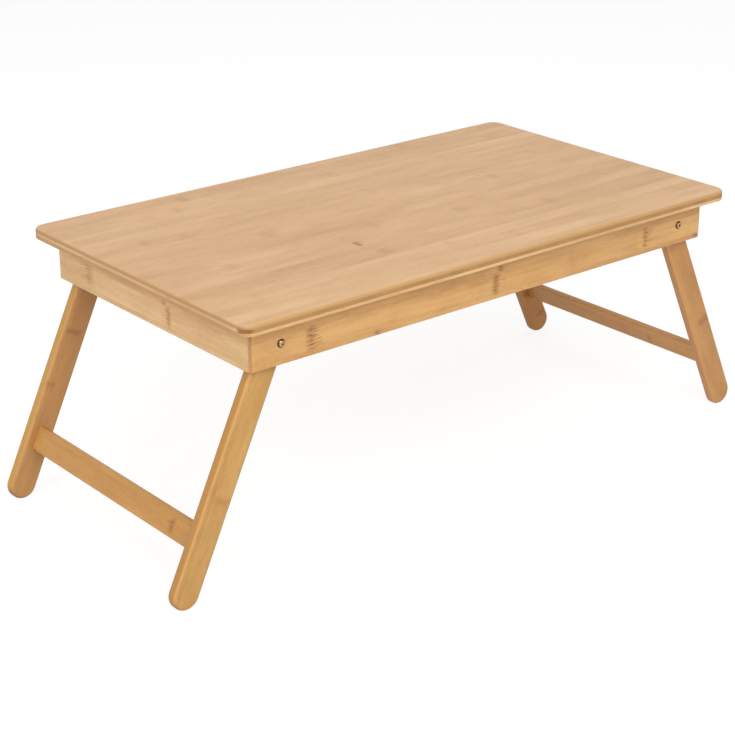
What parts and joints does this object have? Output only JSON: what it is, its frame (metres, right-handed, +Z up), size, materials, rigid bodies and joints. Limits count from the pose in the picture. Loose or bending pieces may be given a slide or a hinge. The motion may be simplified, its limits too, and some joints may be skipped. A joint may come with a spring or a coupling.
{
  "type": "folding lap table",
  "caption": "Low bamboo lap table: a flat rectangular top on a mitred apron, with two splayed leg frames that fold flat under it on pivot bolts.",
  "frame": {"origin": "on the floor, under the middle of the top, with the leg frames open", "axes": "+X along the length of the top to its right-hand end, +Y across it to the rear, +Z up"},
  "size_m": [0.8398, 0.4, 0.3],
  "materials": {
    "bamboo_face": "satin lacquer",
    "bamboo_core": "satin lacquer",
    "bamboo_apron": "satin lacquer",
    "bamboo_leg": "satin lacquer",
    "polished_bolt": "polished nickel",
    "zinc_steel": "zinc plated"
  },
  "bodies": {
    "table_top": {"top_face_ply": "bamboo_face", "top_core_ply": "bamboo_core", "top_back_ply": "bamboo_face", "front_apron": "bamboo_apron", "rear_apron": "bamboo_apron", "left_end_apron": "bamboo_apron", "right_end_apron": "bamboo_apron", "mitre_splines": "bamboo_core", "top_dowels": "bamboo_core", "left_pivot_bolts": "polished_bolt", "right_pivot_bolts": "polished_bolt", "left_spacer_washers": "zinc_steel", "right_spacer_washers": "zinc_steel", "left_nut_washers": "zinc_steel", "right_nut_washers": "zinc_steel", "left_lock_nuts": "zinc_steel", "right_lock_nuts": "zinc_steel"},
    "left_leg_frame": {"left_front_leg": "bamboo_leg", "left_rear_leg": "bamboo_leg", "left_stretcher": "bamboo_leg", "left_stretcher_dowels": "bamboo_core"},
    "right_leg_frame": {"right_front_leg": "bamboo_leg", "right_rear_leg": "bamboo_leg", "right_stretcher": "bamboo_leg", "right_stretcher_dowels": "bamboo_core"}
  },
  "joints": [
    {"name": "left_frame_fold", "type": "hinge", "parent": "table_top", "child": "left_leg_frame", "pos_m": [-0.2905, 0, 0.263], "axis": [0, -1, 0], "range_deg": [0, 116.4]},
    {"name": "right_frame_fold", "type": "hinge", "parent": "table_top", "child": "right_leg_frame", "pos_m": [0.2905, 0, 0.263], "axis": [0, 1, 0], "range_deg": [0, 116.4]}
  ]
}
